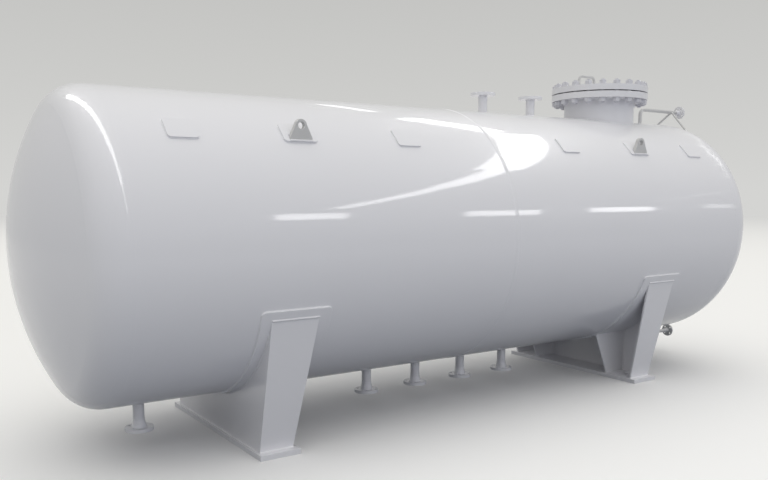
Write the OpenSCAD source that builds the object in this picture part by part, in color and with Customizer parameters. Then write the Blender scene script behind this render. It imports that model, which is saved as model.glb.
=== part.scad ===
// Horizontal storage tank on two saddles: a rolled shell in two courses with dished
// heads, a bolted manhole, flanged nozzles, a bent vent and drain, and lifting lugs.
// X runs along the tank, Y across it and Z up. The origin is on the floor under the
// middle of the tank.

/* [Vessel] */
// Outside diameter of the shell
shell_od = 1620; // [1400:10:2200]
// Length between the tangent lines of the two heads
tangent_length = 4390; // [3700:10:6000]
// Plate thickness of the shell and heads
wall = 10; // [6:1:20]
// Straight skirt of each head, between its tangent line and its weld
head_skirt = 40; // [25:1:60]
// Crown radius of the heads, as a share of the diameter
crown_share = 0.9; // [0.8:0.01:1]
// Knuckle radius of the heads, as a share of the diameter
knuckle_share = 0.12; // [0.1:0.01:0.2]
// Height of the lowest point of the shell above the floor
ground_gap = 250; // [220:5:400]

/* [Saddles] */
// Distance from a tangent line to the middle of its base plate
saddle_setback = 750; // [700:5:900]
// Width of a base plate along the tank
base_w = 230; // [200:2:260]
// Length of a base plate across the tank
base_len = 1256; // [1220:2:1320]
// Thickness of a base plate
base_t = 28; // [12:1:40]
// Strip of base plate left bare outside the web and the ribs
base_lip = 19; // [10:1:30]
// Thickness of the web
web_t = 12; // [8:1:20]
// Thickness of the end plates and ribs
rib_t = 14; // [8:1:20]
// Strip of base plate left bare beyond an end plate
end_lip = 50; // [30:1:80]
// Strip of wear plate left bare above an end plate
wear_lip = 50; // [40:1:80]
// Place of a rib between the centre line and an end plate's foot, as a share
rib_share = 0.614; // [0.4:0.001:0.7]
// How far end plates widen towards the top
end_flare = 70; // [0:5:75]
// Strip of wear plate left bare beyond the top of a rib
rib_lip = 8; // [0:1:40]
// Width of the wear plate along the tank
wear_w = 385; // [360:5:420]
// How far the wear plate sits from the base plate's middle towards the tank's middle
wear_shift = 40; // [0:1:50]
// Thickness of the wear plate
wear_t = 10; // [6:1:16]
// Angle of the shell that the wear plate wraps
wear_angle = 140; // [130:1:150]
// Corner radius of the wear plate
wear_corner = 25; // [10:5:60]
// Diameter of an anchor bolt hole
anchor_d = 28; // [20:1:36]

/* [Manhole] */
// Distance from the right tangent line to the manhole
manhole_setback = 626; // [520:1:700]
// Outside diameter of the neck
manhole_neck_od = 508; // [400:1:560]
// Wall of the neck
manhole_wall = 9.5; // [6:0.5:16]
// Height of the flange's underside above the shell's top
manhole_rise = 140; // [120:2:240]
// Thickness of the flange without its raised face
manhole_flange_t = 44; // [30:1:60]
// Thickness of the cover without its raised face
cover_t = 41; // [30:1:60]
// Height of the raised faces on the flange and cover
face_t = 2; // [1:0.5:4]
// Thickness of the gasket
gasket_t = 4; // [2:0.5:6]
// Gap between the neck and the stud holes
stud_gap = 47.5; // [40:0.5:60]
// Gap between the gasket and the stud holes
gasket_gap = 9.5; // [5:0.5:20]
// Rim of flange outside the stud holes
manhole_rim = 15.75; // [12:0.25:30]
// Number of studs
manhole_studs = 20; // [12:4:24]
// Diameter of a stud hole
manhole_hole_d = 32; // [30:1:36]
// Diameter of a stud
stud_d = 28; // [20:1:29]
// Width of a nut across its flats
nut_af = 46; // [40:1:50]
// Thickness of a nut
nut_t = 28; // [20:1:32]
// Length of stud that shows beyond a nut
stud_end = 8; // [4:1:14]
// Length of the grab handle on the cover
handle_len = 180; // [140:5:240]
// Height of the grab handle above the cover
handle_h = 90; // [80:5:140]
// Bend radius of the grab handle's centre line
handle_bend_r = 31; // [24:1:48]
// Bar diameter of the grab handle
handle_d = 20; // [16:1:28]
// Distance from the manhole's axis to the handle
handle_offset = 142; // [0:1:150]

/* [Top nozzles] */
// Distance from the manhole to the nearer top nozzle
top_gap = 711; // [500:1:800]
// Distance between the two top nozzles
top_pitch = 439; // [300:1:600]
// Outside diameter of the pipe
top_pipe_od = 60.3; // [48:0.1:76]
// Wall of the pipe
top_pipe_wall = 5.5; // [3:0.5:8]
// Thickness of the flange
top_flange_t = 20; // [16:1:30]
// Height of the flange face above the shell's top
top_rise = 130; // [100:5:200]
// Gap between the pipe and the bolt holes
top_bolt_gap = 23.35; // [15:0.05:40]
// Rim of flange outside the bolt holes
top_rim = 11; // [5:0.05:20]
// Diameter of a bolt hole
top_hole_d = 18; // [14:1:20]

/* [Bottom nozzles] */
// Distance from the left tangent line to the end nozzle
end_nozzle_setback = 220; // [150:5:300]
// Distance of the first middle nozzle from the middle of the tank, to the left
row_x = 520; // [400:1:600]
// Spacing of the four middle nozzles
row_pitch = 385; // [300:1:420]
// Outside diameter of the pipe end
low_pipe_od = 60.3; // [48:0.1:73]
// Wall of the pipe end
low_pipe_wall = 5.5; // [3:0.5:8]
// Thickness of the flange
low_flange_t = 19; // [14:1:24]
// How far the tapered hub stands out from the pipe
low_hub_out = 8.85; // [4:0.05:12]
// Height of the tapered hub
low_hub_h = 44; // [30:1:60]
// Height of the flange face above the floor
low_face_z = 80; // [40:2:100]
// Gap between the hub and the bolt holes
low_bolt_gap = 11.85; // [5:0.05:25]
// Rim of flange outside the bolt holes
low_rim = 6.15; // [4:0.05:20]
// Diameter of a bolt hole
low_hole_d = 19; // [14:1:20]

/* [Vent and drain] */
// Distance from the right tangent line to the upright part of both pipes
bend_setback = 141; // [75:1:160]
// Outside diameter of the pipe
small_pipe_od = 26.7; // [21:0.1:42]
// Wall of the pipe
small_pipe_wall = 4; // [3:0.5:6]
// Bend radius of the pipe's centre line
small_bend_r = 38; // [34:1:60]
// Height of the vent's level run above the shell's top
vent_rise = 112; // [100:1:160]
// Depth of the drain's level run below the shell's bottom
drain_drop = 75; // [70:1:120]
// Thickness of the flange
small_flange_t = 13; // [10:1:20]
// How far the tapered hub stands out from the pipe
small_hub_out = 5.7; // [4:0.1:12]
// Length of the tapered hub
small_hub_h = 38; // [20:1:44]
// Gap between the hub and the bolt holes
small_bolt_gap = 7.9; // [4:0.1:15]
// Rim of flange outside the bolt holes
small_rim = 6.3; // [4:0.1:15]
// Diameter of a bolt hole
small_hole_d = 16; // [12:1:18]
// Distance from the flange face to the top of the vent's brace
brace_setback = 105; // [90:1:160]
// Bar diameter of the brace
brace_d = 16; // [12:1:20]
// How far a brace leg leans back along the tank
brace_lean = 98; // [80:2:120]
// How far a brace leg spreads to its side
brace_spread = 345; // [300:5:400]
// How far a brace leg comes down
brace_drop = 305; // [300:5:340]

/* [Lugs and pads] */
// Distance from a tangent line to its lifting lugs
lug_setback = 900; // [800:5:1000]
// Angle of the pads above the level of the tank's axis
pad_angle = 45; // [40:1:50]
// How far below the middle of its pad a lug stands, around the shell
lug_low = 40; // [0:1:40]
// Length of a lug along its foot
lug_len = 125; // [120:5:180]
// Height of the lifting hole above the lug's foot
lug_hole_h = 60; // [55:1:90]
// Diameter of the lifting hole
lug_hole_d = 34; // [25:1:45]
// Radius of the lug's top
lug_top_r = 32; // [30:1:50]
// Thickness of a lug
lug_t = 25; // [16:1:30]
// Width of a lug pad along the tank
lug_pad_w = 185; // [180:5:240]
// Width of a plain pad along the tank
clip_pad_w = 150; // [120:5:200]
// Width of a pad around the shell
pad_arc = 125; // [100:5:180]
// Thickness of a pad
pad_t = 10; // [6:1:14]
// Corner radius of a pad
pad_corner = 20; // [5:1:40]
// Distance from the middle of the tank to the inner plain pads
clip_inner_x = 630; // [500:5:800]
// Distance from a tangent line to its outer plain pads
clip_setback = 300; // [180:5:400]

/* [Hidden] */
$fn = 64;

paint = "#e4e4e8";
gasket_grey = "#4a4a4c";
zinc = "#b9bbbe";

shell_r = shell_od / 2;
axis_z = ground_gap + shell_r;
top_z = axis_z + shell_r;
half_tan = tangent_length / 2;
course_len = half_tan - head_skirt;
crown_r = crown_share * shell_od;
knuckle_r = knuckle_share * shell_od;
crown_sink = sqrt(pow(crown_r - knuckle_r, 2) - pow(shell_r - knuckle_r, 2));
head_depth = crown_r - crown_sink;
tank_end = half_tan + head_depth;
// How far a cut is carried past the faces that it opens
cut_past = 1;

saddle_x = half_tan - saddle_setback;
wear_r = shell_r + wear_t;
base_out = saddle_x + base_w / 2;
web_out = base_out - base_lip;
web_in = web_out - web_t;
rib_foot = saddle_x - base_w / 2 + base_lip;
end_top_angle = wear_angle / 2 - wear_lip / wear_r * 180 / PI;
end_top_y = wear_r * sin(end_top_angle);
end_top_z = axis_z - wear_r * cos(end_top_angle);
end_foot_y = base_len / 2 - end_lip;
rib_y = rib_share * end_foot_y;
rib_top_x = saddle_x - wear_shift - wear_w / 2 + rib_lip;
rib_top_z = axis_z - sqrt(pow(wear_r, 2) - pow(rib_y + rib_t / 2, 2));
anchor_y = (rib_y + end_foot_y) / 2;
end_lean = atan((end_top_y - end_foot_y) / (end_top_z - base_t));
end_slice = rib_t / cos(end_lean);

manhole_x = half_tan - manhole_setback;
neck_r = manhole_neck_od / 2;
neck_bore_r = neck_r - manhole_wall;
manhole_pcd = manhole_neck_od + 2 * stud_gap + manhole_hole_d;
manhole_flange_od = manhole_pcd + manhole_hole_d + 2 * manhole_rim;
gasket_od = manhole_pcd - manhole_hole_d - 2 * gasket_gap;
flange_z = top_z + manhole_rise;
gasket_z = flange_z + manhole_flange_t + face_t;
cover_z = gasket_z + gasket_t + face_t;
cover_top = cover_z + cover_t;

top_b_x = manhole_x - top_gap;
top_a_x = top_b_x - top_pitch;
end_nozzle_x = half_tan - end_nozzle_setback;
bend_x = half_tan - bend_setback;
brace_x = tank_end - brace_setback;

row_xs = [for (i = [0:3]) i * row_pitch - row_x];
top_bore_r = top_pipe_od / 2 - top_pipe_wall;
top_pcd = top_pipe_od + 2 * top_bolt_gap + top_hole_d;
top_flange_od = top_pcd + top_hole_d + 2 * top_rim;
low_bore_r = low_pipe_od / 2 - low_pipe_wall;
low_hub_d = low_pipe_od + 2 * low_hub_out;
low_pcd = low_hub_d + 2 * low_bolt_gap + low_hole_d;
low_flange_od = low_pcd + low_hole_d + 2 * low_rim;
low_hub_z = low_face_z + low_flange_t + low_hub_h;
low_xs = concat([-end_nozzle_x], row_xs);
small_bore_r = small_pipe_od / 2 - small_pipe_wall;
small_hub_d = small_pipe_od + 2 * small_hub_out;
small_pcd = small_hub_d + 2 * small_bolt_gap + small_hole_d;
small_flange_od = small_pcd + small_hole_d + 2 * small_rim;
vent_z = top_z + vent_rise;
drain_z = ground_gap - drain_drop;

// How far a brace leg is drawn before it is cut to the head, as a share of its fall
brace_reach = 1.3;

// Corner arcs are this much larger than the corner, so that they cross the plate's edges
corner_ease = 1;
pad_span = pad_arc / shell_r * 180 / PI;
lug_x = half_tan - lug_setback;
clip_outer_x = half_tan - clip_setback;
lug_angle = pad_angle - lug_low / (shell_r + pad_t) * 180 / PI;
lug_y = (shell_r + pad_t) * cos(lug_angle);
lug_foot_z = axis_z + (shell_r + pad_t) * sin(lug_angle);
// Lowest point that a lug reaches before it is cut to the pad
lug_root = 2 * lug_t;

// Places its children on the tank's axis, with their Z along +X
module along_axis() {
  translate([0, 0, axis_z])
    rotate([0, 90, 0])
      children();
}

// Solid round bar on the tank's axis
module axis_bar(r, x0, x1) {
  along_axis()
    translate([0, 0, x0])
      cylinder(r = r, h = x1 - x0, $fn = 180);
}

// Holes of one bolt circle, through the plate from z = 0 up
module bolt_holes(pcd, count, hole_d, thick) {
  for (i = [0:count - 1])
    rotate([0, 0, (i + 0.5) * 360 / count])
      translate([pcd / 2, 0, -cut_past])
        cylinder(d = hole_d, h = thick + 2 * cut_past, $fn = 32);
}

// Plate rolled to the shell, with rounded corners. Angle 0 is the tank's lowest line.
module rolled_plate(x_mid, width, mid_angle, span, thick, corner) {
  corner_angle = corner / shell_r * 180 / PI;
  along_axis()
    translate([0, 0, x_mid])
      difference() {
        rotate([0, 0, mid_angle - span / 2])
          rotate_extrude(angle = span, $fn = 180)
            translate([shell_r, -width / 2])
              square([thick, width]);
        for (a = [-1, 1], x = [-1, 1])
          rotate([0, 0, mid_angle + a * (span / 2 - corner_angle)])
            translate([shell_r, 0, x * (width / 2 - corner)])
              corner_waste(a, x, thick, corner);
      }
}

// What is cut away to round one corner of a rolled plate
module corner_waste(a, x, thick, corner) {
  difference() {
    translate([-thick, a > 0 ? 0 : -2 * corner, x > 0 ? 0 : -2 * corner])
      cube([3 * thick, 2 * corner, 2 * corner]);
    rotate([0, 90, 0])
      cylinder(r = corner + corner_ease, h = 8 * thick, center = true);
  }
}

// Half section of a dished head: crown arc, knuckle arc and straight skirt
module head_region(r, crown, knuckle) {
  rise = crown_sink + crown;
  intersection() {
    translate([0, -crown_sink])
      circle(r = crown, $fn = 360);
    polygon([[0, 0], [shell_r - knuckle_r, 0], [2 * (shell_r - knuckle_r), crown_sink], [0, rise]]);
  }
  intersection() {
    translate([shell_r - knuckle_r, 0])
      circle(r = knuckle, $fn = 180);
    square([shell_r, knuckle_r]);
  }
  translate([0, -head_skirt])
    square([r, head_skirt]);
}

// Dished head with its skirt, opening towards -X at the right tangent line
module head() {
  along_axis()
    translate([0, 0, half_tan])
      rotate_extrude($fn = 180)
        difference() {
          head_region(shell_r, crown_r, knuckle_r);
          head_region(shell_r - wall, crown_r - wall, knuckle_r - wall);
        }
}

module head_left() {
  color(paint)
    mirror([1, 0, 0])
      head();
}

module head_right() {
  color(paint)
    head();
}

// Upright drill through the shell's plate on the top side
module top_drill(x, r) {
  translate([x, 0, axis_z])
    cylinder(r = r, h = top_z);
}

// Upright drill through the shell's plate on the bottom side
module low_drill(x, r) {
  translate([x, 0, 0])
    cylinder(r = r, h = axis_z);
}

module shell_course_left() {
  color(paint)
    difference() {
      axis_bar(shell_r, -course_len, 0);
      axis_bar(shell_r - wall, -course_len - cut_past, cut_past);
      for (x = low_xs)
        if (x < 0)
          low_drill(x, low_bore_r);
    }
}

module shell_course_right() {
  color(paint)
    difference() {
      axis_bar(shell_r, 0, course_len);
      axis_bar(shell_r - wall, -cut_past, course_len + cut_past);
      top_drill(manhole_x, neck_bore_r);
      top_drill(top_a_x, top_bore_r);
      top_drill(top_b_x, top_bore_r);
      top_drill(bend_x, small_bore_r);
      low_drill(bend_x, small_bore_r);
      for (x = low_xs)
        if (x > 0)
          low_drill(x, low_bore_r);
    }
}

// Extrudes an outline drawn along the tank, evenly to both sides of a place across it
module along(y, thick) {
  translate([0, y, 0])
    rotate([90, 0, 0])
      linear_extrude(height = thick, center = true)
        children();
}

// Extrudes an outline drawn across the tank between two places along it
module across(x0, x1) {
  translate([x0, 0, 0])
    rotate([90, 0, 90])
      linear_extrude(height = x1 - x0)
        children();
}

module base_plate() {
  difference() {
    translate([saddle_x - base_w / 2, -base_len / 2, 0])
      cube([base_w, base_len, base_t]);
    for (y = [-anchor_y, anchor_y])
      translate([saddle_x, y, -cut_past])
        cylinder(d = anchor_d, h = base_t + 2 * cut_past);
  }
}

module web() {
  foot = end_foot_y - end_slice;
  head = end_top_y - end_slice;
  difference() {
    across(web_in, web_out)
      polygon([[-foot, base_t], [foot, base_t], [head, end_top_z], [-head, end_top_z]]);
    axis_bar(wear_r, 0, tank_end);
  }
}

// Leaning plate that closes the saddle, at the back for side 1 and the front for -1
module end_plate(side) {
  difference() {
    intersection() {
      across(rib_foot - end_flare, web_out)
        polygon([
          [side * end_foot_y, base_t],
          [side * end_top_y, end_top_z],
          [side * (end_top_y - end_slice), end_top_z],
          [side * (end_foot_y - end_slice), base_t]
        ]);
      along(0, shell_od)
        polygon([
          [rib_foot, base_t],
          [web_out, base_t],
          [web_out, end_top_z],
          [rib_foot - end_flare, end_top_z]
        ]);
    }
    axis_bar(wear_r, 0, tank_end);
  }
}

// Ribs that widen from the base plate to the inner edge of the wear plate
module ribs() {
  for (y = [-rib_y, rib_y])
    difference() {
      along(y, rib_t)
        polygon([
          [rib_foot, base_t],
          [web_in, base_t],
          [web_in, rib_top_z],
          [rib_top_x, rib_top_z]
        ]);
      axis_bar(wear_r, 0, tank_end);
    }
}

module wear_plate() {
  rolled_plate(saddle_x - wear_shift, wear_w, 0, wear_angle, wear_t, wear_corner);
}

module on_left() {
  color(paint)
    mirror([1, 0, 0])
      children();
}

module on_right() {
  color(paint)
    children();
}

module at_manhole(z) {
  translate([manhole_x, 0, z])
    children();
}

module manhole_neck() {
  color(paint)
    difference() {
      at_manhole(axis_z)
        cylinder(r = neck_r, h = gasket_z - axis_z - manhole_wall, $fn = 128);
      at_manhole(axis_z - cut_past)
        cylinder(r = neck_bore_r, h = gasket_z, $fn = 128);
      axis_bar(shell_r, 0, tank_end);
    }
}

module manhole_flange() {
  color(paint)
    at_manhole(flange_z)
      difference() {
        union() {
          cylinder(d = manhole_flange_od, h = manhole_flange_t, $fn = 128);
          cylinder(d = gasket_od, h = manhole_flange_t + face_t, $fn = 128);
        }
        translate([0, 0, -cut_past])
          cylinder(r = neck_r, h = manhole_flange_t + face_t + 2 * cut_past, $fn = 128);
        bolt_holes(manhole_pcd, manhole_studs, manhole_hole_d, manhole_flange_t);
      }
}

module manhole_gasket() {
  color(gasket_grey)
    at_manhole(gasket_z)
      difference() {
        cylinder(d = gasket_od, h = gasket_t, $fn = 128);
        translate([0, 0, -cut_past])
          cylinder(r = neck_r, h = gasket_t + 2 * cut_past, $fn = 128);
      }
}

module manhole_cover() {
  color(paint)
    at_manhole(cover_z)
      difference() {
        union() {
          cylinder(d = manhole_flange_od, h = cover_t, $fn = 128);
          translate([0, 0, -face_t])
            cylinder(d = gasket_od, h = cover_t, $fn = 128);
        }
        bolt_holes(manhole_pcd, manhole_studs, manhole_hole_d, cover_t);
      }
}

module nut(z) {
  translate([0, 0, z])
    cylinder(d = nut_af / cos(30), h = nut_t, $fn = 6);
}

module manhole_studs() {
  color(zinc)
    for (i = [0:manhole_studs - 1])
      at_manhole(0)
        rotate([0, 0, (i + 0.5) * 360 / manhole_studs])
          translate([manhole_pcd / 2, 0, 0]) {
            nut(flange_z - nut_t);
            nut(cover_top);
            translate([0, 0, flange_z - nut_t - stud_end])
              cylinder(d = stud_d, h = cover_top - flange_z + 2 * (nut_t + stud_end), $fn = 32);
          }
}

module cover_handle() {
  leg_x = (handle_len - handle_d) / 2;
  bar_z = handle_h - handle_d / 2;
  color(paint)
    translate([manhole_x - handle_offset, 0, cover_top]) {
      for (s = [-1, 1])
        translate([s * leg_x, 0, 0])
          cylinder(d = handle_d, h = bar_z - handle_bend_r);
      translate([handle_bend_r - leg_x, 0, bar_z])
        rotate([0, 90, 0])
          cylinder(d = handle_d, h = 2 * (leg_x - handle_bend_r));
      for (s = [0, 180])
        rotate([0, 0, s])
          translate([leg_x - handle_bend_r, 0, bar_z - handle_bend_r])
            rotate([90, 0, 0])
              rotate_extrude(angle = 90)
                translate([handle_bend_r, 0])
                  circle(d = handle_d, $fn = 32);
    }
}

module top_pipe(x) {
  color(paint)
    difference() {
      translate([x, 0, axis_z])
        cylinder(d = top_pipe_od, h = top_z + top_rise - top_pipe_wall - axis_z);
      translate([x, 0, axis_z - cut_past])
        cylinder(r = top_bore_r, h = top_z);
      axis_bar(shell_r, 0, tank_end);
    }
}

module top_flange(x) {
  color(paint)
    translate([x, 0, top_z + top_rise - top_flange_t])
      difference() {
        cylinder(d = top_flange_od, h = top_flange_t);
        translate([0, 0, -cut_past])
          cylinder(d = top_pipe_od, h = top_flange_t + 2 * cut_past);
        bolt_holes(top_pcd, 4, top_hole_d, top_flange_t);
      }
}

// Flange of a bottom nozzle, with a hub that tapers up to the pipe
module bottom_nozzle(x) {
  color(paint)
    translate([x, 0, low_face_z])
      difference() {
        union() {
          cylinder(d = low_flange_od, h = low_flange_t);
          translate([0, 0, low_flange_t])
            cylinder(d1 = low_hub_d, d2 = low_pipe_od, h = low_hub_h);
        }
        translate([0, 0, -cut_past])
          cylinder(r = low_bore_r, h = low_flange_t + low_hub_h + 2 * cut_past);
        bolt_holes(low_pcd, 4, low_hole_d, low_flange_t);
      }
}

// Pipes from the hubs up to the shell
module bottom_nozzle_pipes() {
  color(paint)
    for (x = low_xs)
      difference() {
        translate([x, 0, low_hub_z])
          cylinder(d = low_pipe_od, h = axis_z - low_hub_z);
        translate([x, 0, low_face_z])
          cylinder(r = low_bore_r, h = axis_z);
        axis_bar(shell_r, -tank_end, tank_end);
      }
}

// Upright pipe with a bend to a level run, both drawn from the bend's corner
module bent_bar(d, up_len, run_len) {
  translate([0, 0, -up_len])
    cylinder(d = d, h = up_len - small_bend_r);
  translate([small_bend_r, 0, 0])
    rotate([0, 90, 0])
      cylinder(d = d, h = run_len - small_bend_r);
  translate([small_bend_r, 0, -small_bend_r])
    rotate([90, 0, 0])
      rotate([0, 0, 90])
        rotate_extrude(angle = 90)
          translate([small_bend_r, 0])
            circle(d = d, $fn = 48);
}

// Bent pipe that leaves the shell's top. The bore is the same path with a smaller bar.
module vent_pipe_solid(z) {
  run_end = tank_end - small_flange_t - small_hub_h;
  difference() {
    translate([bend_x, 0, z])
      bent_bar(small_pipe_od, z - axis_z, run_end - bend_x);
    translate([bend_x, 0, z])
      bent_bar(2 * small_bore_r, z - axis_z, run_end - bend_x + cut_past);
    axis_bar(shell_r, 0, tank_end);
  }
}

module vent_pipe() {
  color(paint)
    vent_pipe_solid(vent_z);
}

module small_flange(z) {
  color(paint)
    translate([tank_end, 0, z])
      rotate([0, -90, 0])
        difference() {
          union() {
            cylinder(d = small_flange_od, h = small_flange_t);
            translate([0, 0, small_flange_t])
              cylinder(d1 = small_hub_d, d2 = small_pipe_od, h = small_hub_h);
          }
          translate([0, 0, -cut_past])
            cylinder(r = small_bore_r, h = small_flange_t + small_hub_h + 2 * cut_past);
          bolt_holes(small_pcd, 4, small_hole_d, small_flange_t);
        }
}

module vent_flange() {
  small_flange(vent_z);
}

module drain_pipe() {
  color(paint)
    translate([0, 0, axis_z])
      mirror([0, 0, 1])
        translate([0, 0, -axis_z])
          vent_pipe_solid(2 * axis_z - drain_z);
}

module drain_flange() {
  small_flange(drain_z);
}

// Round bar from one point towards another, carried on past it
module bar_past(from, to, d) {
  way = to - from;
  translate(from)
    rotate([0, acos(way[2] / norm(way)), atan2(way[1], way[0])])
      cylinder(d = d, h = brace_reach * norm(way), $fn = 32);
}

// Leg from under the vent's level run to the right head, at the back for side 1
module vent_brace(side) {
  apex = [brace_x, 0, vent_z];
  color(paint)
    difference() {
      bar_past(apex, apex + [-brace_lean, side * brace_spread, -brace_drop], brace_d);
      translate([bend_x, 0, vent_z])
        rotate([0, 90, 0])
          cylinder(d = small_pipe_od, h = tank_end - bend_x);
      along_axis()
        translate([0, 0, half_tan])
          rotate_extrude($fn = 180)
            head_region(shell_r, crown_r, knuckle_r);
    }
}

// Lug with a round top and straight sides, standing upright on its pad at +X +Y
module lug() {
  difference() {
    translate([lug_x, lug_y, lug_foot_z])
      rotate([90, 0, 0])
        difference() {
          linear_extrude(height = lug_t, center = true)
            lug_outline();
          translate([0, lug_hole_h, 0])
            cylinder(d = lug_hole_d, h = lug_t + 2 * cut_past, center = true);
        }
    axis_bar(shell_r + pad_t, 0, tank_end);
  }
}

// The straight sides run from the corners of the foot to where they touch the round top
module lug_outline() {
  half = lug_len / 2;
  touch = acos(lug_top_r / norm([half, lug_hole_h])) - atan2(lug_hole_h, half);
  side_x = (lug_top_r - corner_ease) * cos(touch);
  side_z = lug_hole_h + (lug_top_r - corner_ease) * sin(touch);
  translate([0, lug_hole_h])
    circle(r = lug_top_r);
  polygon([
    [-half, -lug_root],
    [half, -lug_root],
    [half, 0],
    [side_x, side_z],
    [-side_x, side_z],
    [-half, 0]
  ]);
}

// Pad on the upper shoulder of the shell, on the back for side 1 and the front for -1
module pad(x, width, side) {
  rolled_plate(x, width, side * (90 + pad_angle), pad_span, pad_t, pad_corner);
}

module lug_at(sx, sy) {
  color(paint)
    mirror([sx < 0 ? 1 : 0, 0, 0])
      mirror([0, sy < 0 ? 1 : 0, 0])
        lug();
}

module lug_pad(sx, sy) {
  color(paint)
    pad(sx * lug_x, lug_pad_w, sy);
}

module plain_pads(sy) {
  color(paint)
    for (s = [-1, 1], x = [clip_outer_x, clip_inner_x])
      pad(s * x, clip_pad_w, sy);
}

shell_course_left();
shell_course_right();
head_left();
head_right();
on_left() base_plate();  // saddle_left_base
on_left() web();  // saddle_left_web
on_left() end_plate(-1);  // saddle_left_end_front
on_left() end_plate(1);  // saddle_left_end_back
on_left() ribs();  // saddle_left_ribs
on_left() wear_plate();  // saddle_left_wear_plate
on_right() base_plate();  // saddle_right_base
on_right() web();  // saddle_right_web
on_right() end_plate(-1);  // saddle_right_end_front
on_right() end_plate(1);  // saddle_right_end_back
on_right() ribs();  // saddle_right_ribs
on_right() wear_plate();  // saddle_right_wear_plate
manhole_neck();
manhole_flange();
manhole_gasket();
manhole_cover();
manhole_studs();
cover_handle();
top_pipe(top_a_x);  // top_nozzle_a_pipe
top_flange(top_a_x);  // top_nozzle_a_flange
top_pipe(top_b_x);  // top_nozzle_b_pipe
top_flange(top_b_x);  // top_nozzle_b_flange
bottom_nozzle(low_xs[0]);  // bottom_nozzle_end
bottom_nozzle(low_xs[1]);  // bottom_nozzle_1
bottom_nozzle(low_xs[2]);  // bottom_nozzle_2
bottom_nozzle(low_xs[3]);  // bottom_nozzle_3
bottom_nozzle(low_xs[4]);  // bottom_nozzle_4
bottom_nozzle_pipes();
vent_pipe();
vent_flange();
vent_brace(-1);  // vent_brace_front
vent_brace(1);  // vent_brace_back
drain_pipe();
drain_flange();
lug_at(-1, -1);  // lug_front_left
lug_at(1, -1);  // lug_front_right
lug_at(-1, 1);  // lug_back_left
lug_at(1, 1);  // lug_back_right
lug_pad(-1, -1);  // lug_pad_front_left
lug_pad(1, -1);  // lug_pad_front_right
lug_pad(-1, 1);  // lug_pad_back_left
lug_pad(1, 1);  // lug_pad_back_right
plain_pads(-1);  // plain_pads_front
plain_pads(1);  // plain_pads_back
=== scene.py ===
import math

import bmesh
import bpy
from mathutils import Matrix, Vector


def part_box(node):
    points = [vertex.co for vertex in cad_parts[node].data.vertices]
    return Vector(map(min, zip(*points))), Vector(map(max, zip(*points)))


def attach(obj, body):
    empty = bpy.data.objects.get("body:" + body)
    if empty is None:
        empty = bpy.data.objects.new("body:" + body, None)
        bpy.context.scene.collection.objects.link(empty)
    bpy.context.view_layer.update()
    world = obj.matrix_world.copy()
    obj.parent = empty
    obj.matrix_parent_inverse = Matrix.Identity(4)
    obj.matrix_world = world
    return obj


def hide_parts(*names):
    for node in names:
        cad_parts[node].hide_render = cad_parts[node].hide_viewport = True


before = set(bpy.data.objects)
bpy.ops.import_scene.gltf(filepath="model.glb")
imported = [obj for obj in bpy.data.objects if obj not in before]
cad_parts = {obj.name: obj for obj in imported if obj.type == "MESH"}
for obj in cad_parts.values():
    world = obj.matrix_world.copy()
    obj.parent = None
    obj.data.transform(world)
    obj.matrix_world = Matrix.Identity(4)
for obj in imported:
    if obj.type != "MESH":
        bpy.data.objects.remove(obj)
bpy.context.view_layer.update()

print("stage: frame loaded with", len(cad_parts), "nodes")

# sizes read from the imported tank, in metres
shellLow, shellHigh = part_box("shell_course_left")
shellRadius = (shellHigh.y - shellLow.y) / 2
axisHeight = (shellHigh.z + shellLow.z) / 2
plateThick = 0.010             # pads and wear plates
plateRadius = shellRadius + plateThick


def linear(hexColour):
    parts = [int(hexColour[i:i + 2], 16) / 255 for i in (1, 3, 5)]
    return [c / 12.92 if c <= 0.04045 else ((c + 0.055) / 1.055) ** 2.4 for c in parts] + [1.0]


def addNode(tree, kind, links=None, **settings):
    made = tree.nodes.new(kind)
    for key, value in settings.items():
        if hasattr(made, key):
            setattr(made, key, value)
        else:
            made.inputs[key.replace("_", " ")].default_value = value
    for key, source in (links or {}).items():
        tree.links.new(source, made.inputs[key])
    return made


def newMaterial(name):
    made = bpy.data.materials.new(name)
    made.use_nodes = True
    made.node_tree.nodes.clear()
    return made, made.node_tree


def perMetre(millimetres):
    return 1000 / millimetres      # pattern scale for a feature of that size


# two-pack polyurethane enamel, sprayed on blasted plate: deep gloss on an even film,
# so lamps mirror sharply and the plate between them stays milky
enamel = {
    "colour": "#e8e8ec",
    "shade": "#e5e5e9",
    "roughness": (0.30, 0.36),
    "ior": 1.5,
    "specular": 0.1,
    "coat": 0.7,
    "coatRoughness": 0.06,
    "mottleSize": 900,         # mm, slow drift of the film between passes of the gun
    "mottleDetail": 3.0,
    "mottleRoughness": 0.55,
    "peelSize": 0,             # mm, none: real peel is too fine to show at this distance
    "peelDetail": 1.0,
    "peelStrength": 0.35,
}
# the same enamel brushed over nuts and studs, where it lies thicker and duller
brushedEnamel = dict(enamel, colour="#dcdce1", shade="#cfcfd6", roughness=(0.34, 0.46), coat=0.2,
                     mottleSize=35, peelSize=4, peelDepth=0.00012)
# a duller coat of the tank's white enamel on the lugs, the handle and the small pipes, greyed as
# painted shade for the shade they stand in
fittingShadeEnamel = dict(enamel, colour="#cdcdcd", shade="#c5c5c5", roughness=(0.40, 0.48), coat=0.2,
                     mottleSize=80)
# the same enamel over weld beads, which the ripples break up
beadEnamel = dict(enamel, roughness=(0.32, 0.40), coat=0.5, mottleSize=60, peelSize=6,
                  peelDepth=0.0001)


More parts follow.
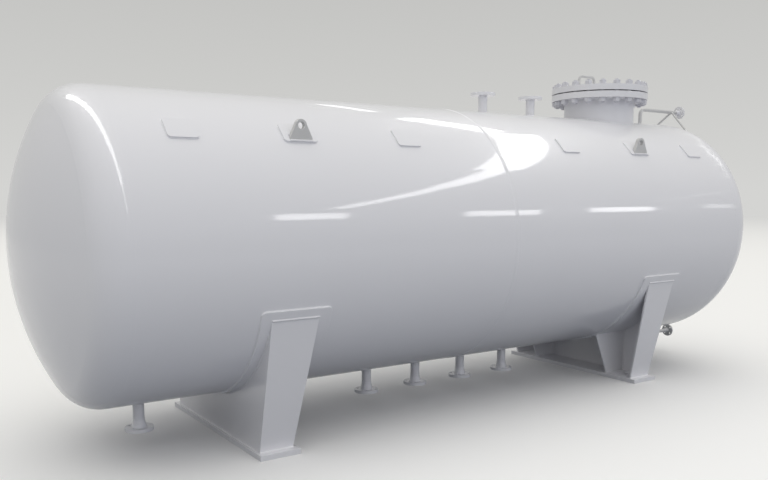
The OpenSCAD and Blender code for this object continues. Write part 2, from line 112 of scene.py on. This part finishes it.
def makeEnamel(name, choice):
    made, tree = newMaterial(name)
    place = addNode(tree, "ShaderNodeTexCoord").outputs["Object"]
    drift = addNode(tree, "ShaderNodeTexNoise", {"Vector": place}, Detail=choice["mottleDetail"],
                    Roughness=choice["mottleRoughness"], Scale=perMetre(choice["mottleSize"]))
    tint = addNode(tree, "ShaderNodeMix", {"Factor": drift.outputs["Fac"]}, data_type="RGBA")
    tint.inputs["A"].default_value = linear(choice["shade"])
    tint.inputs["B"].default_value = linear(choice["colour"])
    gloss = addNode(tree, "ShaderNodeMapRange", {"Value": drift.outputs["Fac"]},
                    To_Min=choice["roughness"][0], To_Max=choice["roughness"][1])
    shader = addNode(tree, "ShaderNodeBsdfPrincipled",
                     {"Base Color": tint.outputs["Result"], "Roughness": gloss.outputs["Result"]},
                     IOR=choice["ior"])
    if choice["peelSize"]:
        skin = addNode(tree, "ShaderNodeTexNoise", {"Vector": place}, Detail=choice["peelDetail"],
                       Scale=perMetre(choice["peelSize"]))
        bump = addNode(tree, "ShaderNodeBump", {"Height": skin.outputs["Fac"]},
                       Strength=choice["peelStrength"], Distance=choice["peelDepth"])
        tree.links.new(bump.outputs["Normal"], shader.inputs["Normal"])
    shader.inputs["Specular IOR Level"].default_value = choice["specular"]
    shader.inputs["Coat Weight"].default_value = choice["coat"]
    shader.inputs["Coat Roughness"].default_value = choice["coatRoughness"]
    addNode(tree, "ShaderNodeOutputMaterial", {"Surface": shader.outputs["BSDF"]})
    return made


# pressed fibre sheet: matt and almost black at its cut edge, with paler fibres in it
fibre = {
    "colour": "#3c3d40",
    "fleck": "#5c5d60",
    "fibreSize": 2.5,          # mm
    "fibreDetail": 4.0,
    "roughness": 0.85,
}


def makeFibre(choice):
    made, tree = newMaterial("pressed fibre sheet")
    place = addNode(tree, "ShaderNodeTexCoord").outputs["Object"]
    fleck = addNode(tree, "ShaderNodeTexNoise", {"Vector": place}, Detail=choice["fibreDetail"],
                    Scale=perMetre(choice["fibreSize"]))
    tint = addNode(tree, "ShaderNodeMix", {"Factor": fleck.outputs["Fac"]}, data_type="RGBA")
    tint.inputs["A"].default_value = linear(choice["colour"])
    tint.inputs["B"].default_value = linear(choice["fleck"])
    shader = addNode(tree, "ShaderNodeBsdfPrincipled", {"Base Color": tint.outputs["Result"]},
                     Roughness=choice["roughness"])
    addNode(tree, "ShaderNodeOutputMaterial", {"Surface": shader.outputs["BSDF"]})
    return made


plateFinish = makeEnamel("white polyurethane enamel", enamel)
fastenerFinish = makeEnamel("brushed white enamel", brushedEnamel)
# duller enamel, its grey a painted shade on the fittings
fittingShadeFinish = makeEnamel("dull grey enamel", fittingShadeEnamel)
beadFinish = makeEnamel("white enamel over weld", beadEnamel)
gasketFinish = makeFibre(fibre)
print("stage: materials made")

# the parts that take the greyed enamel, a painted shade over the tank's white paint
shadedFittings = ("lug_front", "lug_back", "cover_handle", "vent_pipe", "vent_brace", "drain")


def finishOf(nodeName):
    if nodeName == "manhole_gasket":
        return gasketFinish
    return fittingShadeFinish if nodeName.startswith(shadedFittings) else plateFinish


for nodeName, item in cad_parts.items():
    item.data.materials.clear()
    item.data.materials.append(finishOf(nodeName))


def addPiece(name, mesh, material, replaced=()):
    mesh.materials.clear()
    mesh.materials.append(material)
    piece = bpy.data.objects.new(name, mesh)
    bpy.context.scene.collection.objects.link(piece)
    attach(piece, "root")
    if replaced:
        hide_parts(*replaced)
    return piece


def camelName(nodeName):
    first, *rest = nodeName.split("_")
    return first + "".join(word.capitalize() for word in rest)


def smoothMesh(name, shape):
    for face in shape.faces:
        face.smooth = True
    mesh = bpy.data.meshes.new(name)
    shape.to_mesh(mesh)
    shape.free()
    return mesh


# eased edges: flame-cut plate is ground to a small round before it is painted
easing = {
    "mergeWithin": 1e-6,
    "flatWithin": 0.5,          # degrees, below this two triangles are one flat face
    "sharpOver": 35.0,          # degrees
    "segments": 3,
    "flatWeight": 80,           # keeps the flats flat beside their rounds
    "rounds": {                 # radius of the round by the kind of piece
        "saddle": 0.0025,
        "lug_pad": 0.0030,
        "plain_pads": 0.0030,
        "lug": 0.0030,
        "manhole_flange": 0.0020,
        "manhole_cover": 0.0020,
        "top_nozzle_a_flange": 0.0015,
        "top_nozzle_b_flange": 0.0015,
        "bottom_nozzle": 0.0015,
        "vent_flange": 0.0012,
        "drain_flange": 0.0012,
    },
}


def easeEdges(nodeName, radius, choice):
    shape = bmesh.new()
    shape.from_mesh(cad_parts[nodeName].data)
    bmesh.ops.remove_doubles(shape, verts=shape.verts, dist=choice["mergeWithin"])
    bmesh.ops.dissolve_limit(shape, angle_limit=math.radians(choice["flatWithin"]),
                             verts=shape.verts, edges=shape.edges)
    sharp = [e for e in shape.edges if e.calc_face_angle(0) > math.radians(choice["sharpOver"])]
    bmesh.ops.bevel(shape, geom=sharp, offset=radius, offset_type="OFFSET", affect="EDGES",
                    segments=choice["segments"], profile=0.5, clamp_overlap=True, material=-1)
    name = camelName(nodeName)
    mesh = smoothMesh(name, shape)
    piece = addPiece(name, mesh, finishOf(nodeName), [nodeName])
    weighted = piece.modifiers.new("weightedNormals", "WEIGHTED_NORMAL")
    weighted.weight = choice["flatWeight"]


for nodeName in sorted(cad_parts):
    for start, radius in easing["rounds"].items():
        if nodeName.startswith(start):
            easeEdges(nodeName, radius, easing)
            break
print("stage: plate edges eased")

# weld beads: a run of filler along every joint between plates and pipes
bead = {
    "fillet": 0.006,           # radius of a bead between plates
    "smallFillet": 0.004,      # on pipes and the handle
    "step": 0.006,             # half a ripple, twice the real one so that it shows
    "ripple": 0.06,            # how much a ripple swells, as a share of the radius
    "roundness": 2,
    "fewestPoints": 16,        # round a thin pipe
    "saddleLip": 0.019,        # bare strip of base plate beside ribs
    "endLip": 0.050,           # bare strip of base plate beyond an end plate
    "ribThick": 0.014,
    "wrap": 140.0,             # degrees of shell under a wear plate
    "wearCorner": 0.026,
    "padArc": 0.125,
    "padCorner": 0.020,
    "padAngle": 45.0,          # degrees above the axis
    "cornerSteps": 8,
    "lugThick": 0.025,
    "lowPipe": 0.0603,         # outside diameter of the pipes underneath
}


def onShell(x, degrees, radius):
    turn = math.radians(degrees)      # from the tank's lowest line, towards the back
    return Vector((x, radius * math.sin(turn), axisHeight - radius * math.cos(turn)))


def spread(points, closed=False):
    points = [Vector(p) for p in points]
    if closed:
        points.append(points[0])
    laid = []
    ahead = 0.0
    for here, there in zip(points, points[1:]):
        length = (there - here).length
        while ahead < length:
            laid.append(here.lerp(there, ahead / length))
            ahead += bead["step"]
        ahead -= length
    return laid if closed else laid + [points[-1]]


def plateLoop(xMid, width, midDegrees, arc, corner):
    outline = []
    for quarter, (sideX, sideArc) in enumerate(((1, 1), (-1, 1), (-1, -1), (1, -1))):
        for step in range(bead["cornerSteps"] + 1):
            turn = math.radians(90 * (quarter + step / bead["cornerSteps"]))
            outline.append((sideX * (width / 2 - corner) + corner * math.cos(turn),
                            sideArc * (arc / 2 - corner) + corner * math.sin(turn)))
    loop = []
    for u, v, _ in spread([(u, v, 0) for u, v in outline], closed=True):
        out = Vector((u - max(corner - width / 2, min(width / 2 - corner, u)),
                      v - max(corner - arc / 2, min(arc / 2 - corner, v)))).normalized()
        degrees = midDegrees + math.degrees(v / shellRadius)
        up = onShell(0, degrees, 1) - onShell(0, degrees, 0)
        onward = Vector((1, 0, 0)).cross(up)
        loop.append((onShell(xMid + u, degrees, shellRadius),
                     out.x * Vector((1, 0, 0)) + out.y * onward, up))
    return loop


def turnsRound(radius):
    count = max(bead["fewestPoints"], int(2 * math.pi * radius / bead["step"]))
    return [2 * math.pi * i / count for i in range(count)]


def pipeLoop(x, radius, upward):
    loop = []
    for turn in turnsRound(radius):
        y = radius * math.sin(turn)
        rise = math.sqrt(shellRadius ** 2 - y ** 2)
        z = axisHeight + (rise if upward else -rise)
        loop.append(Vector((x + radius * math.cos(turn), y, z)))
    return loop


def flatLoop(centre, radius, axis):
    turnTo = Vector((0, 0, 1)).rotation_difference(Vector(axis)).to_matrix()
    return [Vector(centre) + turnTo @ Vector((radius * math.cos(a), radius * math.sin(a), 0))
            for a in turnsRound(radius)]


def layBeads(name, loops, lines, radius):
    path = bpy.data.curves.new(name, "CURVE")
    path.dimensions = "3D"
    path.bevel_depth = radius
    path.bevel_resolution = bead["roundness"]
    path.use_fill_caps = True
    for points, closed in [(p, True) for p in loops] + [(spread(p), False) for p in lines]:
        run = path.splines.new("POLY")
        run.points.add(len(points) - 1)
        run.use_cyclic_u = closed
        for i, place in enumerate(points):
            run.points[i].co = (*place, 1)
            run.points[i].radius = 1 + bead["ripple"] * (1 if i % 2 else -1)
    holder = bpy.data.objects.new(name + "Path", path)
    bpy.context.scene.collection.objects.link(holder)
    bpy.context.view_layer.update()
    graph = bpy.context.evaluated_depsgraph_get()
    mesh = bpy.data.meshes.new_from_object(holder.evaluated_get(graph))
    mesh.name = name
    bpy.data.objects.remove(holder)
    bpy.data.curves.remove(path)
    mesh.shade_smooth()
    addPiece(name, mesh, beadFinish)


# fillets round the pads and wear plates, with the flat face of a neat mitre weld
fillet = {
    "leg": 0.0045,
    "bulge": 0.53,             # half would be dead flat
    "ripple": 0.015,
    "sink": 0.0005,
}


def layFillets(name, loops, choice):
    shape = bmesh.new()
    for loop in loops:
        rings = [[], [], [], []]
        for i, (place, out, up) in enumerate(loop):
            leg = choice["leg"] * (1 + choice["ripple"] * (1 if i % 2 else -1))
            rings[0].append(place + out * leg - up * choice["sink"])
            rings[1].append(place + (out + up) * leg * choice["bulge"])
            rings[2].append(place + up * leg - out * choice["sink"])
            rings[3].append(place - (out + up) * choice["sink"])
        runs = []
        for points in rings:
            verts = [shape.verts.new(point) for point in points]
            runs.append([shape.edges.new(pair) for pair in zip(verts, verts[1:] + verts[:1])])
        for near, far in zip(runs, runs[1:] + runs[:1]):
            bmesh.ops.bridge_loops(shape, edges=near + far)
        for edge in runs[0] + runs[2]:
            edge.smooth = False
    bmesh.ops.recalc_face_normals(shape, faces=shape.faces)
    addPiece(name, smoothMesh(name, shape), beadFinish)


def nodeSpan(nodeName):
    low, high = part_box(nodeName)
    return (low.x + high.x) / 2, high.x - low.x


def weldSaddle(side):
    baseLow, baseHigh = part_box(f"saddle_{side}_base")
    webLow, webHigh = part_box(f"saddle_{side}_web")
    endLow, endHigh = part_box(f"saddle_{side}_end_back")
    ribLow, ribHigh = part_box(f"saddle_{side}_ribs")
    if side == "right":               # each web is on the side away from the tank's middle
        webIn, webOut, ribFoot = webLow.x, webHigh.x, baseLow.x + bead["saddleLip"]
        ribTop, endTop = ribLow.x, endLow.x
    else:
        webIn, webOut, ribFoot = webHigh.x, webLow.x, baseHigh.x - bead["saddleLip"]
        ribTop, endTop = ribHigh.x, endHigh.x
    foot, head = baseHigh.z, endHigh.z
    endFootY = baseHigh.y - bead["endLip"]
    endTopY = endHigh.y
    webTopY = webHigh.y
    webFootY = webTopY - (endTopY - endFootY)
    wrap = int(math.degrees(math.asin(webTopY / plateRadius)))
    lines = []
    for front in (-1, 1):
        lines.append([(ribFoot, front * endFootY, foot), (webOut, front * endFootY, foot)])
        lines.append([(endTop, front * endTopY, head), (webOut, front * endTopY, head)])
        lines.append([(webIn, front * webFootY, foot), (webIn, front * webTopY, head)])
        for y in (ribHigh.y, ribHigh.y - bead["ribThick"]):
            top = axisHeight - math.sqrt(plateRadius ** 2 - y ** 2)
            lines.append([(ribFoot, front * y, foot), (webIn, front * y, foot)])
            lines.append([(webIn, front * y, foot), (webIn, front * y, top)])
            lines.append([(ribTop, front * y, top), (webIn, front * y, top)])
    for x in (webIn, webOut):
        lines.append([(x, -webFootY, foot), (x, webFootY, foot)])
        lines.append([onShell(x, degrees, plateRadius) for degrees in range(-wrap, wrap + 1)])
    wearMid, wearWidth = nodeSpan(f"saddle_{side}_wear_plate")
    arc = math.radians(bead["wrap"]) * shellRadius
    loop = plateLoop(wearMid, wearWidth, 0, arc, bead["wearCorner"])
    layFillets(f"saddle{side.capitalize()}WearWeld", [loop], fillet)
    layBeads(f"saddle{side.capitalize()}Welds", [], lines, bead["fillet"])


def plainPads(nodeName):
    places = sorted(v.co.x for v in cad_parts[nodeName].data.vertices)
    groups = [[places[0]]]
    for x in places[1:]:
        if x - groups[-1][-1] > bead["padArc"]:      # the gap before the next pad
            groups.append([])
        groups[-1].append(x)
    return [((g[0] + g[-1]) / 2, g[-1] - g[0]) for g in groups]


def weldPads():
    loops = []
    lines = []
    for front, side in ((-1, "front"), (1, "back")):
        middle = front * (90 + bead["padAngle"])
        for end in ("left", "right"):
            padMid, padWidth = nodeSpan(f"lug_pad_{side}_{end}")
            loops.append(plateLoop(padMid, padWidth, middle, bead["padArc"], bead["padCorner"]))
            lugLow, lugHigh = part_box(f"lug_{side}_{end}")
            lugY = (lugLow.y + lugHigh.y) / 2
            for y in (lugY - bead["lugThick"] / 2, lugY + bead["lugThick"] / 2):
                z = axisHeight + math.sqrt(plateRadius ** 2 - y ** 2)
                lines.append([(lugLow.x, y, z), (lugHigh.x, y, z)])
        for padMid, padWidth in plainPads(f"plain_pads_{side}"):
            loops.append(plateLoop(padMid, padWidth, middle, bead["padArc"], bead["padCorner"]))
    layFillets("padWelds", loops, fillet)
    layBeads("lugWelds", [], lines, bead["fillet"])


def weldPipes():
    upright, lengthwise = (0, 0, 1), (1, 0, 0)
    neckMid, neckWidth = nodeSpan("manhole_neck")
    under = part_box("manhole_flange")[0].z
    neck = [pipeLoop(neckMid, neckWidth / 2, True),
            flatLoop((neckMid, 0, under), neckWidth / 2, upright)]
    layBeads("manholeWelds", neck, [], bead["fillet"])
    small = []
    for letter in "ab":
        mid, width = nodeSpan(f"top_nozzle_{letter}_pipe")
        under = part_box(f"top_nozzle_{letter}_flange")[0].z
        small.append(pipeLoop(mid, width / 2, True))
        small.append(flatLoop((mid, 0, under), width / 2, upright))
    for name in ("end", "1", "2", "3", "4"):
        low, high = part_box(f"bottom_nozzle_{name}")
        mid = (low.x + high.x) / 2
        radius = bead["lowPipe"] / 2
        small.append(pipeLoop(mid, radius, False))
        small.append(flatLoop((mid, 0, high.z), radius - bead["smallFillet"] / 2, upright))
    for name, upward in (("vent", True), ("drain", False)):
        low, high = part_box(f"{name}_pipe")
        thick = high.y - low.y
        small.append(pipeLoop(low.x + thick / 2, thick / 2, upward))
        flangeLow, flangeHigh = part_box(f"{name}_flange")
        level = (flangeLow.z + flangeHigh.z) / 2
        small.append(flatLoop((flangeLow.x, 0, level), thick / 2, lengthwise))
    low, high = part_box("cover_handle")
    thick = high.y - low.y
    for x in (low.x + thick / 2, high.x - thick / 2):
        small.append(flatLoop((x, 0, low.z), thick / 2, upright))
    layBeads("pipeWelds", small, [], bead["smallFillet"])


weldSaddle("left")
weldSaddle("right")
weldPads()
weldPipes()

# girth seam: the cap of the butt weld between the two courses, ground low
seam = {
    "width": 0.028,
    "height": 0.0026,
    "sink": 0.0002,            # its edges end just under the plate
    "across": 6,
    "around": 288,
}


def makeSeam(name, x, choice):
    shape = bmesh.new()
    last = None
    for i in range(choice["across"] + 1):
        t = 2 * i / choice["across"] - 1
        radius = shellRadius + choice["height"] * (1 - t * t) - choice["sink"]
        vert = shape.verts.new((x + t * choice["width"] / 2, 0, axisHeight + radius))
        if last:
            shape.edges.new((last, vert))
        last = vert
    bmesh.ops.spin(shape, geom=shape.verts[:] + shape.edges[:], cent=(0, 0, axisHeight),
                   axis=(1, 0, 0), angle=2 * math.pi, steps=choice["around"], use_merge=True)
    bmesh.ops.recalc_face_normals(shape, faces=shape.faces)
    addPiece(name, smoothMesh(name, shape), beadFinish)


makeSeam("girthSeam", shellHigh.x, seam)
print("stage: welds laid")

# manhole studs: each a threaded bar with a chamfered nut at both ends
stud = {
    "count": 20,
    "firstAt": 0.5,            # of a step, so the studs straddle the centre lines
    "circle": 0.635,
    "diameter": 0.028,
    "standOut": 0.008,
    "pitch": 0.003,
    "threadDepth": 0.0016,
    "sides": 20,
    "acrossFlats": 0.046,
    "nutHeight": 0.028,
    "nutTurn": 37,             # degrees from one nut to the next, as a spanner leaves them
    "chamfer": 0.0022,
    "chamferSpread": 1.6,      # its width for its height
    "endFacing": 0.9,          # a nut's ends are the faces that look up or down more than this
    "mergeWithin": 1e-6,
}


def makeNut(shape, base, choice):
    corner = choice["acrossFlats"] / 2 / math.cos(math.radians(30))
    made = bmesh.ops.create_cone(shape, cap_ends=True, segments=6, radius1=corner, radius2=corner,
                                 depth=choice["nutHeight"],
                                 matrix=Matrix.Translation((0, 0, base + choice["nutHeight"] / 2)))
    faces = {f for v in made["verts"] for f in v.link_faces}
    ends = [f for f in faces if abs(f.normal.z) > choice["endFacing"]]
    rims = {v: (1 if f.normal.z > 0 else -1) for f in ends for v in f.verts}
    bmesh.ops.inset_individual(shape, faces=ends,
                               thickness=choice["chamfer"] * choice["chamferSpread"])
    for vert, up in rims.items():
        vert.co.z -= up * choice["chamfer"]


def makeStud(shape, low, high, choice):
    radius = choice["diameter"] / 2
    root = radius - choice["threadDepth"]
    half = choice["pitch"] / 2
    turns = int(choice["standOut"] / half)
    end = [(0.0, 0.0), (root, 0.0)] + [(radius if i % 2 else root, half * i + half / 2)
                                        for i in range(1, turns)]
    profile = [(r, low + z) for r, z in end] + [(r, high - z) for r, z in reversed(end)]
    verts = [shape.verts.new((r, 0, z)) for r, z in profile]
    edges = [shape.edges.new(pair) for pair in zip(verts, verts[1:])]
    bmesh.ops.spin(shape, geom=verts + edges, cent=(0, 0, 0), axis=(0, 0, 1), angle=2 * math.pi,
                   steps=choice["sides"], use_merge=True)


def makeStuds(choice):
    coverLow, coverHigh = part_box("manhole_cover")
    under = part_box("manhole_flange")[0].z
    middle = (coverLow.x + coverHigh.x) / 2
    reach = choice["nutHeight"] + choice["standOut"]
    one = bmesh.new()
    makeStud(one, under - reach, coverHigh.z + reach, choice)
    bmesh.ops.remove_doubles(one, verts=one.verts, dist=choice["mergeWithin"])
    makeNut(one, coverHigh.z, choice)
    makeNut(one, under - choice["nutHeight"], choice)
    bmesh.ops.recalc_face_normals(one, faces=one.faces)
    single = bpy.data.meshes.new("oneStud")
    one.to_mesh(single)
    one.free()
    joined = bmesh.new()
    for i in range(choice["count"]):
        copy = single.copy()
        degrees = (i + choice["firstAt"]) * 360 / choice["count"]
        turn = Matrix.Rotation(math.radians(degrees), 4, "Z")
        nutTurn = Matrix.Rotation(math.radians(choice["nutTurn"] * i), 4, "Z")
        copy.transform(Matrix.Translation((middle, 0, 0)) @ turn
                       @ Matrix.Translation((choice["circle"] / 2, 0, 0)) @ nutTurn)
        joined.from_mesh(copy)
        bpy.data.meshes.remove(copy)
    bpy.data.meshes.remove(single)
    mesh = bpy.data.meshes.new("manholeStuds")
    joined.to_mesh(mesh)
    joined.free()
    addPiece("manholeStuds", mesh, fastenerFinish, ["manhole_studs"])


makeStuds(stud)
print("stage: studs made")

# studio: a pale floor that fades into a plain grey backdrop
studio = {
    "floorColour": "#f4f4f4",
    "bounceColour": "#80848c",     # what the floor throws back on to the tank
    "size": 60.0,
    "segments": 96,
    "fadeFrom": 9.0,
    "fadeTo": 42.0,
    "backdropLow": "#d4d4d2",
    "backdropHigh": "#c3c3c1",
    "backdropRise": 0.25,          # height of the upper tone, as a sine of the elevation
}


def seenRay(tree):
    ray = addNode(tree, "ShaderNodeLightPath")
    seen = addNode(tree, "ShaderNodeMath", operation="MAXIMUM", links={
        0: ray.outputs["Is Camera Ray"], 1: ray.outputs["Is Glossy Ray"]})
    seen = addNode(tree, "ShaderNodeMath", operation="MAXIMUM", links={
        0: seen.outputs[0], 1: ray.outputs["Is Transmission Ray"]})
    return seen.outputs[0]


def makeStudio(choice):
    made, tree = newMaterial("matt studio paper")
    pale = addNode(tree, "ShaderNodeBsdfDiffuse")
    pale.inputs["Color"].default_value = linear(choice["floorColour"])
    bounce = addNode(tree, "ShaderNodeBsdfDiffuse")
    bounce.inputs["Color"].default_value = linear(choice["bounceColour"])
    paper = addNode(tree, "ShaderNodeMixShader", {"Fac": seenRay(tree), 1: bounce.outputs["BSDF"],
                                                  2: pale.outputs["BSDF"]})
    place = addNode(tree, "ShaderNodeTexCoord").outputs["Object"]
    away = addNode(tree, "ShaderNodeVectorMath", {0: place}, operation="LENGTH")
    fade = addNode(tree, "ShaderNodeMapRange", {"Value": away.outputs["Value"]},
                   From_Min=choice["fadeFrom"], From_Max=choice["fadeTo"],
                   interpolation_type="SMOOTHSTEP")
    glow = addNode(tree, "ShaderNodeEmission")
    glow.inputs["Color"].default_value = linear(choice["backdropLow"])
    blend = addNode(tree, "ShaderNodeMixShader", {"Fac": fade.outputs["Result"],
                                                  1: paper.outputs["Shader"],
                                                  2: glow.outputs["Emission"]})
    addNode(tree, "ShaderNodeOutputMaterial", {"Surface": blend.outputs["Shader"]})
    mesh = bpy.data.meshes.new("studioFloor")
    shape = bmesh.new()
    bmesh.ops.create_circle(shape, cap_ends=True, segments=choice["segments"],
                            radius=choice["size"])
    shape.to_mesh(mesh)
    shape.free()
    mesh.materials.append(made)
    floor = bpy.data.objects.new("studioFloor", mesh)
    bpy.context.scene.collection.objects.link(floor)


makeStudio(studio)

# camera: fitted to the tank's outline, saddles and girth weld in the photograph
view = {
    "place": (-3.1924, -4.1383, 1.3549),
    "azimuth": 55.832,
    "elevation": -8.456,
    "sensor": 36.0,
    "lens": 37.01,
    "shiftUp": 0.0880,         # the photograph is cropped, so its optical axis lies low in it
}
cameraData = bpy.data.cameras.new("tankCamera")
cameraData.sensor_width = view["sensor"]
cameraData.lens = view["lens"]
cameraData.shift_y = view["shiftUp"]
cameraObject = bpy.data.objects.new("tankCamera", cameraData)
bpy.context.scene.collection.objects.link(cameraObject)
cameraObject.location = view["place"]
cameraObject.rotation_euler = (math.radians(90 + view["elevation"]), 0,
                               math.radians(view["azimuth"] - 90))
bpy.context.scene.camera = cameraObject

# light: a soft ceiling over a dim room, seen against the plain backdrop
room = {
    "zenith": 1.54,
    "horizon": 0.35,
    "tint": "#fffefa",
}


def makeRoom(choice):
    world = bpy.data.worlds.new("studioRoom")
    bpy.context.scene.world = world
    world.use_nodes = True
    tree = world.node_tree
    tree.nodes.clear()
    place = addNode(tree, "ShaderNodeTexCoord").outputs["Generated"]
    height = addNode(tree, "ShaderNodeSeparateXYZ", {"Vector": place}).outputs["Z"]
    above = addNode(tree, "ShaderNodeMath", {0: height}, operation="MAXIMUM")
    above.inputs[1].default_value = 0.0
    square = addNode(tree, "ShaderNodeMath", {0: above.outputs[0], 1: above.outputs[0]},
                     operation="MULTIPLY")
    level = addNode(tree, "ShaderNodeMapRange", {"Value": square.outputs[0]},
                    To_Min=choice["horizon"], To_Max=choice["zenith"])
    ceiling = addNode(tree, "ShaderNodeBackground", {"Strength": level.outputs["Result"]})
    ceiling.inputs["Color"].default_value = linear(choice["tint"])
    rise = addNode(tree, "ShaderNodeMapRange", {"Value": above.outputs[0]},
                   From_Max=studio["backdropRise"])
    tone = addNode(tree, "ShaderNodeMix", {"Factor": rise.outputs["Result"]}, data_type="RGBA")
    tone.inputs["A"].default_value = linear(studio["backdropLow"])
    tone.inputs["B"].default_value = linear(studio["backdropHigh"])
    backdrop = addNode(tree, "ShaderNodeBackground", {"Color": tone.outputs["Result"]})
    both = addNode(tree, "ShaderNodeMixShader", {"Fac": seenRay(tree), 1: ceiling.outputs[0],
                                                 2: backdrop.outputs[0]})
    addNode(tree, "ShaderNodeOutputWorld", {"Surface": both.outputs["Shader"]})


makeRoom(room)

# lamps that only the gloss mirrors, each a strip between two points, and two soft fills
# that it doesn't; power is the strip's radiance, so a longer strip is as bright
frontY = -6.0                  # the strips that stand in front of the tank
roofZ = 5.0                    # the strips that hang over it
lamps = {
    "frontStrip1": {"from": (1.25, frontY, 3.34), "to": (2.30, frontY, 3.34),
                    "width": 0.46, "power": 9.0},
    "frontStrip2": {"from": (4.35, frontY, 3.29), "to": (5.85, frontY, 3.30),
                    "width": 0.46, "power": 9.0},
    "frontStrip3": {"from": (7.05, frontY, 3.42), "to": (8.70, frontY, 3.42),
                    "width": 0.46, "power": 9.0},
    "frontStrip4": {"from": (10.3, frontY, 3.61), "to": (11.2, frontY, 3.58),
                    "width": 0.46, "power": 2.5},
    "ceilingPanel": {"from": (3.48, 0.60, roofZ), "to": (3.54, -2.5, roofZ),
                     "width": 0.80, "power": 8.5},
    "ceilingNeck": {"from": (3.56, -2.5, roofZ), "to": (3.50, -4.2, roofZ),
                    "width": 0.42, "power": 8.5},
    "ceilingTail": {"from": (3.50, -4.2, roofZ), "to": (3.56, -7.8, roofZ),
                    "width": 0.34, "power": 8.5},
    "ceilingHead": {"from": (2.32, 1.90, roofZ), "to": (3.25, 0.70, roofZ),
                    "width": 0.42, "power": 8.5},
    "topStrip": {"from": (2.22, 4.30, roofZ), "to": (2.25, 2.85, roofZ),
                 "width": 0.25, "power": 3.0},
    "leftStrip": {"from": (-3.35, 3.9, roofZ), "to": (-1.92, -4.3, roofZ),
                  "width": 0.45, "power": 8.0},
    "leftTail": {"from": (-1.92, -4.3, roofZ), "to": (-1.30, -8.0, roofZ),
                 "width": 0.30, "power": 4.0},
    "rimStrip1": {"from": (8.03, 2.34, roofZ), "to": (7.13, 0.47, roofZ),
                  "width": 0.05, "power": 1.2},
    "rimStrip2": {"from": (7.13, 0.47, roofZ), "to": (7.17, -0.50, roofZ),
                  "width": 0.05, "power": 3.0},
    "rimStrip3": {"from": (7.17, -0.50, roofZ), "to": (7.64, -1.56, roofZ),
                  "width": 0.05, "power": 5.0},
    "rimStrip4": {"from": (7.64, -1.56, roofZ), "to": (8.74, -2.95, roofZ),
                  "width": 0.05, "power": 4.0},
    "sideStrip": {"from": (10.9, -7.2, roofZ), "to": (10.7, -5.0, roofZ),
                  "width": 0.20, "power": 2.5},
    "frontFill": {"from": (-7.0, -14.0, 4.4), "to": (9.0, -14.0, 4.4),
                  "width": 3.0, "power": 2.45, "mirrored": False, "tint": "#f1f4ff"},
    "leftFill": {"from": (-11.0, -6.0, 4.0), "to": (-11.0, 4.0, 4.0),
                 "width": 2.5, "power": 0.8, "mirrored": False, "aim": (0.0, 0.0, 1.06)},
}


def hangLamp(name, choice):
    start, end = Vector(choice["from"]), Vector(choice["to"])
    middle = (start + end) / 2
    along = (end - start).normalized()
    aim = Vector(choice.get("aim", (middle.x, 0, axisHeight))) - middle
    aim = (aim - along * aim.dot(along)).normalized()
    data = bpy.data.lights.new(name, "AREA")
    data.shape = "RECTANGLE"
    data.size = (end - start).length
    data.size_y = choice["width"]
    data.color = linear(choice.get("tint", "#ffffff"))[:3]
    data.energy = choice["power"] * data.size * data.size_y * math.pi     # watts for that radiance
    lamp = bpy.data.objects.new(name, data)
    lamp.matrix_world = Matrix.Translation(middle) @ Matrix(
        (along, (-aim).cross(along), -aim)).transposed().to_4x4()
    lamp.visible_camera = False
    lamp.visible_glossy = choice.get("mirrored", True)
    lamp.visible_diffuse = not lamp.visible_glossy
    bpy.context.scene.collection.objects.link(lamp)


for lampName, lampChoice in lamps.items():
    hangLamp(lampName, lampChoice)
print("stage: room lit")

bpy.context.scene.view_settings.view_transform = "Standard"

print("stage: done")
